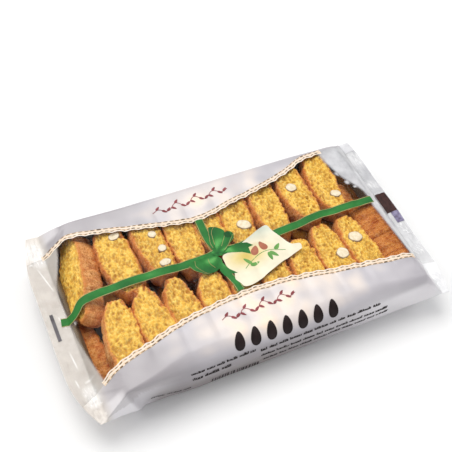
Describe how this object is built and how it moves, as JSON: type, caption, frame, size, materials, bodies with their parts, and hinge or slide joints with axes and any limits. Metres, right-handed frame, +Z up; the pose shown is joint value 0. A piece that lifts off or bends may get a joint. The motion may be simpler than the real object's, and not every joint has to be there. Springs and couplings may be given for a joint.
{
  "type": "flow-wrapped pack of almond biscuit slices",
  "caption": "Sealed flow-wrap pack of sliced almond biscuits in two rows, with a clear window, white printed bands, a printed ribbon and crimped fins at both ends.",
  "frame": {"origin": "middle of the underside's bounding box, on the surface that the pack lies on", "axes": "+X along the pack, +Y across it towards the back row, +Z up"},
  "size_m": [0.344, 0.19, 0.047],
  "materials": {
    "white_film": "pearly white printed packing film, soft gloss",
    "clear_film": "thin clear packing film, glossy",
    "print": "flat ink printed on the film",
    "ribbon_print": "green and tan ink printed on the film",
    "tray": "thin translucent formed plastic",
    "crumb": "dry open biscuit crumb, yellow",
    "crust": "baked brown crust, matt",
    "almond": "cut almond, pale with a brown skin"
  },
  "bodies": {
    "root": {"pack": "white_film"}
  },
  "joints": []
}
